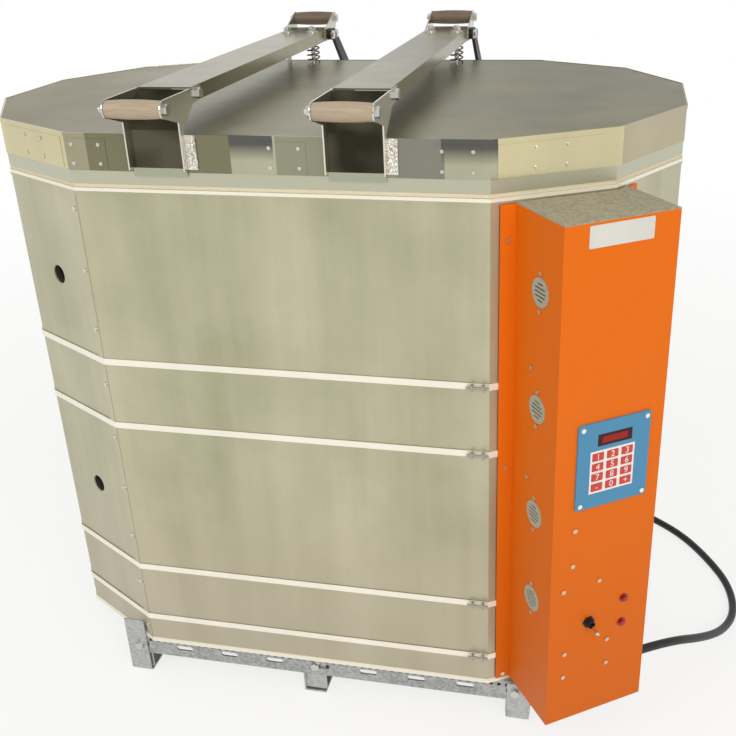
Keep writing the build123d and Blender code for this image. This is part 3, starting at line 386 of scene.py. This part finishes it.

# Brackets: folded from polished sheet and bolted to the ends of the bars. The web between the two sides of each
# front one is painted dark, a painted dark reflection that is mottled near its top; the sides catch the light,
# and a crumpled spring clip lies beside each.
bar_middles = (-0.156, 0.118)
web_half = 0.0385
web_rise = (0.9065, 1.02)
clip_sides = (0.0408, 0.0550)
front_facing = -0.6
bracket_steel = bare_sheet(
    "polished bracket",
    dark=(0.62, 0.60, 0.52),
    light=(0.86, 0.84, 0.75),
    roughness=0.14,
    metallic=0.95,
    brush=0.10,
)
tree = bracket_steel.node_tree
surface = finish_step(tree, "TexCoord", {})
facing = finish_step(tree, "SeparateXYZ", {"Vector": surface["Normal"]})
to_front = math_step(tree, "LESS_THAN", facing["Y"], front_facing)
web_reflection_mottle = finish_step(tree, "TexNoise", {"Vector": surface["Object"], "Scale": 16, "Detail": 1})["Fac"]
web_reflection_tones = tone_card(tree, web_reflection_mottle, ((0.38, (0.03, 0.027, 0.016)), (0.66, (0.10, 0.092, 0.062))))
# The web's front face is painted darker, and darker still with a mottle near its top: a painted dark reflection.
for middle in bar_middles:
    painted_dark_web = both(tree, to_front, between(tree, "X", middle - web_half, middle + web_half))
    recolour(bracket_steel, painted_dark_web, (0.40, 0.41, 0.30))
    recolour(bracket_steel, both(tree, painted_dark_web, between(tree, "Z", *web_rise)), web_reflection_tones)
clips = []
for middle in bar_middles:
    clips.append(between(tree, "X", *(middle + side for side in clip_sides)))
    recolour(bracket_steel, clips[-1], (0.95, 0.94, 0.88))
crumple = finish_step(tree, "TexNoise", {"Scale": 75, "Detail": 1})["Fac"]
scratched = tree.nodes["Principled BSDF"].inputs["Normal"].links[0].from_socket
crushed = math_step(tree, "MULTIPLY", crumple, math_step(tree, "ADD", *clips))
dents = finish_step(tree, "Bump", {"Distance": 0.006, "Height": crushed, "Normal": scratched})
apply_finish(tree, {"Normal": dents["Normal"]})
wear(bracket_steel, "front_brackets", "rear_brackets")

# Bars: two inverted channels of satin stainless sheet that run over the lid from front to back and carry it on
# its hinges. They are bolted to the brackets at both ends.
bar_steel = bare_sheet(
    "bar steel",
    dark=(0.20, 0.186, 0.108),
    light=(0.38, 0.352, 0.23),
    roughness=0.24,
    metallic=0.9,
    brush=0.12,
)
wear(bar_steel, "left_bar", "right_bar")

# Springs: wound from hard, dark wire and set over guide bolts between the bars' tails and the lid. They let the
# lid settle evenly on the bricks as it shuts.
spring_wire = bare_sheet(
    "spring wire",
    dark=(0.12, 0.118, 0.11),
    light=(0.26, 0.255, 0.24),
    roughness=0.3,
    metallic=1.0,
)
wear(spring_wire, "lid_springs")

# Grips: turned hardwood on a bolt between two bracket sides, with the grain running along each one. The front
# pair shows the pale wood, and the rear pair is the same wood painted darker: painted shade.
wood_grain, given, made = shared_effect(
    "wood grain",
    {"Dark": "Color", "Pale": "Color"},
    {"Colour": "Color", "Grain": "Float"},
)
place = finish_step(wood_grain, "TexCoord", {})["Object"]
along = finish_step(wood_grain, "Mapping", {"Vector": place, "Scale": (14, 160, 160)})["Vector"]
fibres = {"Vector": along, "Scale": 1.5, "Detail": 6, "Distortion": 1.2}
grain = finish_step(wood_grain, "TexNoise", fibres)["Fac"]
tones = {"Factor": grain, "A": given["Dark"], "B": given["Pale"]}
feed(wood_grain, made["Colour"], finish_step(wood_grain, "Mix", tones, data_type="RGBA")["Result"])
feed(wood_grain, made["Grain"], grain)
for pair, dark, light in (
    ("front_grips", (0.30, 0.23, 0.16), (0.54, 0.45, 0.33)),
    # The rear pair's darker colours are painted shade on the same wood as the front pair.
    ("rear_grips", (0.10, 0.07, 0.05), (0.24, 0.18, 0.13)),
):
    wood, tree = new_finish(f"{pair} wood")
    timber = finish_step(tree, "Group", {"Dark": dark, "Pale": light}, node_tree=wood_grain)
    relief = finish_step(tree, "Bump", {"Strength": 0.2, "Distance": 0.0003, "Height": timber["Grain"]})
    apply_finish(tree, {"Roughness": 0.5, "Base Color": timber["Colour"], "Normal": relief["Normal"]})
    wear(wood, pair)

# Hinge: two iron arms that carry the bars and swing on pins in two brackets screwed to the kiln's back. A thick
# black paint with a fine grain keeps the iron from rusting.
paint_skin, given, made = shared_effect(
    "paint skin",
    {"Deep": "Color", "Full": "Color"},
    {"Colour": "Color", "Skin": "Float"},
)
skin = finish_step(paint_skin, "TexNoise", {"Scale": 700})["Fac"]
tones = {"Factor": skin, "A": given["Deep"], "B": given["Full"]}
feed(paint_skin, made["Colour"], finish_step(paint_skin, "Mix", tones, data_type="RGBA")["Result"])
feed(paint_skin, made["Skin"], skin)


def painted(name, colour, roughness, peel=0.0, coat=0.0):
    """A smooth paint, powder coat or moulded plastic with a fine surface grain."""
    material, tree = new_finish(name)
    colours = {"Deep": [part * 0.9 for part in colour], "Full": colour}
    paint = finish_step(tree, "Group", colours, node_tree=paint_skin)
    apply_finish(tree, {
        "Roughness": roughness,
        "Coat Weight": coat,
        "Specular IOR Level": 0.2,
        "Base Color": paint["Colour"],
    })
    if peel:
        relief = finish_step(tree, "Bump", {"Strength": peel, "Distance": 0.0002, "Height": paint["Skin"]})
        apply_finish(tree, {"Normal": relief["Normal"]})
    return material


hinge_iron = painted("black hinge iron", (0.018, 0.018, 0.018), roughness=0.4, peel=0.3)
wear(hinge_iron, "hinge_arms", "hinge_brackets")

# Fasteners: bolts, pins and screws of steel with a thin bright zinc plating. They hold the stand, the jacket's
# overlap, the lid's plates, its brackets and its bars, and the switch's lever has the same plating.
zinc_plate = bare_sheet(
    "zinc plate",
    dark=(0.50, 0.49, 0.45),
    light=(0.75, 0.74, 0.70),
    roughness=0.25,
    metallic=1.0,
)
wear(zinc_plate, "stand_bolts", "lid_bolts", "hinge_pins", "jacket_screws", "lid_screws", "toggle_lever")

# Control box: folded sheet steel, powder coated bright orange and screwed to the jacket by its two flanges. Its
# cover is speckled grey, louvred discs let out the heat, and the nameplate near the top is a bare plate.
shaded_foot = (0.08, 0.60)
orange = painted("orange powder coat", (0.80, 0.158, 0.002), roughness=0.45, peel=0.35)
# The orange darkens towards the foot: painted shade.
shade = slope(orange.node_tree, "Z", *shaded_foot, first=0.8, last=0)
recolour(orange, shade, (0.62, 0.125, 0.002))
wear(orange, "box_shell")
cover_grey = painted("speckled grey cover", (0.315, 0.288, 0.20), roughness=0.5, peel=0.9)
flake(cover_grey, (0.66, 0.625, 0.49))
wear(cover_grey, "box_top_plate")
louvre_grey = painted("louvre grey", (0.42, 0.42, 0.35), roughness=0.5, peel=0.2)
wear(louvre_grey, "vent_discs")
plain_plate = bare_sheet(
    "bare nameplate",
    dark=(0.66, 0.64, 0.58),
    light=(0.80, 0.79, 0.73),
    roughness=0.3,
    metallic=0.7,
    brush=0.2,
)
wear(plain_plate, "nameplate")
# These zinc screws are tinted warm orange: a painted reflection of the orange box around them.
box_screw_steel = bare_sheet(
    "box screw steel",
    dark=(0.60, 0.44, 0.31),
    light=(0.84, 0.66, 0.50),
    roughness=0.3,
    metallic=1.0,
)
wear(box_screw_steel, "box_screws")

# Switch and lamps: a toggle switch in black moulded plastic, held by a nut round its bushing, and two red
# indicator lamps with clear lenses. The relays behind the front are moulded in the same black.
switch_black = painted("switch black", (0.02, 0.02, 0.02), roughness=0.4, peel=0.1)
wear(switch_black, "toggle_switch", "relays")
lamp_red = painted("lamp red", (0.30, 0.006, 0.006), roughness=0.15, coat=0.8)
wear(lamp_red, "indicator_lamps")

# Keypad: a sky-blue printed overlay on a plate with a pale screw at each corner, and a white field under its red
# keys. The display above them is a dark window with a band of red light where its digits are.
box_along = Vector((0.81915, 0.57358, 0))
box_out = Vector((0.57358, -0.81915, 0))
box_corner_x = 0.201
keypad_middle = 0.0035
field_half = 0.035
field_rise = (0.4825, 0.5485)
corner_reach = (-0.062, 0.062)
corner_rise = (0.445, 0.605)
digit_reach = (-0.014, 0.026)
digit_rise = (0.5592, 0.5688)


def beside(tree, low, high):
    """A mask that is 1 between two distances along the box's front, in metres to the right of its middle."""
    place = finish_step(tree, "TexCoord", {})["Object"]
    values = {0: place, 1: box_along}
    reach = finish_step(tree, "VectorMath", values, operation="DOT_PRODUCT")["Value"]
    middle = box_corner_x * box_along.x + (low + high) / 2
    return math_step(tree, "COMPARE", reach, middle, (high - low) / 2)


keypad_blue = painted("keypad blue", (0.085, 0.28, 0.49), roughness=0.45, peel=0.1)
tree = keypad_blue.node_tree
field_reach = (keypad_middle - field_half, keypad_middle + field_half)
field = both(tree, beside(tree, *field_reach), between(tree, "Z", *field_rise))
recolour(keypad_blue, field, (0.84, 0.80, 0.80))
wear(keypad_blue, "keypad_panel")
tree = box_screw_steel.node_tree
corners = both(tree, beside(tree, *corner_reach), between(tree, "Z", *corner_rise))
recolour(box_screw_steel, corners, (0.92, 0.90, 0.86))
display_red = painted("display red", (0.045, 0.006, 0.008), roughness=0.25, coat=0.1)
tree = display_red.node_tree
digits = both(tree, beside(tree, *digit_reach), between(tree, "Z", *digit_rise))
recolour(display_red, digits, (0.30, 0.010, 0.006))
wear(display_red, "display_window")
key_red = painted("key red", (0.62, 0.07, 0.06), roughness=0.45, peel=0.1)
wear(key_red, *[f"key_{number}" for number in range(1, 13)])

# Key legends: plain white numbers and signs, printed thinly on the faces of the twelve keys. Each moves in with
# its own key.
key_face = 0.45225
key_pitch = (0.023, 0.0158)
keys_middle_z = 0.5155
legend_size = 0.013
legend_thickness = 0.00005
legend_white = painted("legend white", (0.85, 0.84, 0.82), roughness=0.5, peel=0.05)
for index, sign in enumerate("123456789-0+"):
    print_text = bpy.data.curves.new(f"legend_{index + 1}", "FONT")
    print_text.body = sign
    print_text.size = legend_size
    print_text.align_x = "CENTER"
    print_text.align_y = "CENTER"
    print_text.extrude = legend_thickness
    print_text.materials.append(legend_white)
    legend = bpy.data.objects.new(f"legend_{index + 1}", print_text)
    spot = Vector((box_corner_x, 0, 0)) + box_out * key_face
    spot += box_along * (keypad_middle + (index % 3 - 1) * key_pitch[0])
    spot.z = keys_middle_z - (index // 3 - 1.5) * key_pitch[1]
    legend.matrix_world = Matrix((
        (box_along.x, 0, box_out.x, spot.x),
        (box_along.y, 0, box_out.y, spot.y),
        (0, 1, 0, spot.z),
        (0, 0, 0, 1),
    ))
    bpy.context.scene.collection.objects.link(legend)
    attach(legend, f"key_{index + 1}_body")

# Fittings inside: a green circuit board and an iron transformer in the box, and the heating elements of dark
# resistance wire, which lie in grooves in the bricks.
board_green = painted("circuit board", (0.02, 0.18, 0.07), roughness=0.4, peel=0.1)
wear(board_green, "controller_board")
dark_iron = painted("dark iron", (0.06, 0.058, 0.055), roughness=0.55, peel=0.4)
wear(dark_iron, "transformer", "heating_elements")

# Cord: black rubber mains cable, 14 mm thick, from the gland low on the box's right wall. It droops to the
# floor, swings out to the right and lies back behind the kiln, where its spare length is coiled up.
cord_radius = 0.007
lying = 0.0071
cord_route = [
    (0.5254, -0.2611, 0.1160),
    (0.5730, -0.2279, 0.1140),
    (0.6400, -0.1460, 0.0620),
    (0.6820, -0.0700, 0.0220),
    (0.7070, 0.0020, lying),
    (0.7020, 0.0830, lying),
    (0.6660, 0.1640, lying),
    (0.6190, 0.2370, lying),
    (0.5560, 0.2920, lying),
    (0.4755, 0.3469, lying),
    (0.4014, 0.3863, lying),
]
coil_centre = Vector((0.430, 0.470, 0))
coil_entry = math.radians(242)
coil_lift = 0.0146
outer_radius = 0.0873
entry_side = Vector((math.cos(coil_entry), math.sin(coil_entry), 0))
steps = 12
# The spare coil: each half turn's radius, its centre's shift to the entry side, and its lift at both ends.
half_turns = [
    (outer_radius, 0, 0, 0),
    (0.0800, -0.0073, 0, 0),
    (0.0727, 0, 0, coil_lift),
    (0.0800, 0.0073, coil_lift, coil_lift),
]
coil_points = []
for index, (radius, shift, low, high) in enumerate(half_turns):
    spread = radius / math.cos(math.pi / (2 * steps))
    for step in range(steps):
        part = (step + 0.5) / steps
        turn = coil_entry - math.pi * (index + part)
        height = lying + low + (high - low) * part * part * (3 - 2 * part)
        swing = Vector((math.cos(turn) * spread, math.sin(turn) * spread, height))
        coil_points.append(coil_centre + entry_side * shift + swing)
plug_heading = math.radians(152)
plug_reaches = (0.012, 0.04, 0.074)
leaving = coil_centre + entry_side * outer_radius + Vector((0, 0, lying + coil_lift))
straight = Vector((math.cos(plug_heading), math.sin(plug_heading), 0))
to_plug = [leaving + straight * reach for reach in plug_reaches]
cord_curve = bpy.data.curves.new("mains cord", "CURVE")
cord_curve.dimensions = "3D"
cord_curve.bevel_depth = 1
cord_curve.bevel_resolution = 5
cord_curve.use_fill_caps = True
spline = cord_curve.splines.new("NURBS")
route = [Vector(point) for point in cord_route] + coil_points + to_plug
spline.points.add(len(route) - 1)
for point, spot in zip(spline.points, route):
    point.co = (*spot, 1)
    point.radius = cord_radius
spline.order_u = 3
spline.use_endpoint_u = True
spline.resolution_u = 8
cord = bpy.data.objects.new("mains_cord", cord_curve)
bpy.context.scene.collection.objects.link(cord)
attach(cord, "kiln")
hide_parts("cord", "cord_coil")
rubber, tree = new_finish("black cord rubber")
fine = finish_step(tree, "TexNoise", {"Scale": 900})["Fac"]
relief = finish_step(tree, "Bump", {"Strength": 0.15, "Distance": 0.0003, "Height": fine})
apply_finish(tree, {"Base Color": (0.012, 0.012, 0.013), "Roughness": 0.42, "Normal": relief["Normal"]})
cord_curve.materials.append(rubber)
wear(rubber, "cord_gland", "plug")

# Floor: a plain sheet of pale studio paper under the kiln. It keeps the kiln's shadow close by and fades to the
# plain white backdrop farther out.
floor_half = 9
floor_corners = [(-floor_half, -floor_half, 0), (floor_half, -floor_half, 0)]
floor_corners += [(floor_half, floor_half, 0), (-floor_half, floor_half, 0)]
fade_from, fade_to = 1.0, 3.2
near_share = 0.78
floor_mesh = bpy.data.meshes.new("studio floor")
floor_mesh.from_pydata(floor_corners, [], [(0, 1, 2, 3)])
floor = bpy.data.objects.new("studio floor", floor_mesh)
bpy.context.scene.collection.objects.link(floor)


def sees_backdrop(tree):
    """1 for the rays that see the plain backdrop: from the camera, off gloss and through glass."""
    rays = finish_step(tree, "LightPath", {})
    gloss = math_step(tree, "MAXIMUM", rays["Is Camera Ray"], rays["Is Glossy Ray"])
    return math_step(tree, "MAXIMUM", gloss, rays["Is Transmission Ray"])


paper, tree = new_finish("studio paper")
apply_finish(tree, {"Base Color": (0.86, 0.86, 0.85), "Roughness": 0.9})
glow = finish_step(tree, "Emission", {"Strength": 1.0})["Emission"]
place = finish_step(tree, "TexCoord", {})["Object"]
distance = finish_step(tree, "VectorMath", {0: place}, operation="LENGTH")["Value"]
values = {"Value": distance, "From Min": fade_from, "From Max": fade_to, "To Min": near_share}
fade = finish_step(tree, "MapRange", values)["Result"]
share = math_step(tree, "MULTIPLY", sees_backdrop(tree), fade)
lit = tree.nodes["Principled BSDF"].outputs["BSDF"]
blend = finish_step(tree, "MixShader", {"Fac": share, 1: lit, 2: glow})["Shader"]
feed(tree, tree.nodes["Material Output"].inputs["Surface"], blend)
floor_mesh.materials.append(paper)

# Room: a soft grey-white studio that lights the kiln evenly from above. Gloss sees a plain backdrop with faint
# pale and dark patches, as bare metal does in a workshop, and the camera sees it plain white.
world = bpy.data.worlds.new("studio room")
world.use_nodes = True
bpy.context.scene.world = world
tree = world.node_tree
room = tree.nodes["Background"]
around = finish_step(tree, "TexCoord", {})["Generated"]
height = finish_step(tree, "SeparateXYZ", {"Vector": around})["Z"]
rise = finish_step(tree, "MapRange", {"Value": height, "From Min": -1})["Result"]
walls = tone_card(tree, rise, ((0.35, (0.40, 0.39, 0.33)), (0.75, (1.0, 0.99, 0.94))))
feed(tree, room.inputs["Color"], walls)
feed(tree, room.inputs["Strength"], 0.7)
patches = finish_step(tree, "TexNoise", {"Vector": around, "Scale": 2.6, "Detail": 1.5})["Fac"]
values = {"Value": patches, "From Min": 0.40, "From Max": 0.58, "To Min": 0.40, "To Max": 1.0}
contrast = finish_step(tree, "MapRange", values)["Result"]
from_camera = finish_step(tree, "LightPath", {})["Is Camera Ray"]
strength = math_step(tree, "MAXIMUM", contrast, from_camera)
backdrop = finish_step(tree, "Background", {"Color": (1, 1, 1), "Strength": strength})["Background"]
values = {"Fac": sees_backdrop(tree), 1: room.outputs["Background"], 2: backdrop}
feed(tree, tree.nodes["World Output"].inputs["Surface"], finish_step(tree, "MixShader", values)["Shader"])

# Lights: two large square softboxes in front of the kiln, a wide one on the left and a stronger, warmer one on
# the right that faces the control box.
for name, spot, aim, size, power, colour in (
    ("left softbox", (-1.8, -2.6, 2.6), (0, 0, 0.5), 2.0, 24, (1.0, 0.97, 0.90)),
    ("front softbox", (1.9, -2.9, 2.4), (0.2, 0, 0.5), 1.4, 48, (1.0, 0.96, 0.88)),
):
    light = bpy.data.objects.new(name, bpy.data.lights.new(name, "AREA"))
    light.data.size = size
    light.data.energy = power
    light.data.color = colour
    light.location = spot
    light.rotation_euler = (Vector(aim) - Vector(spot)).to_track_quat("-Z", "Y").to_euler()
    bpy.context.scene.collection.objects.link(light)
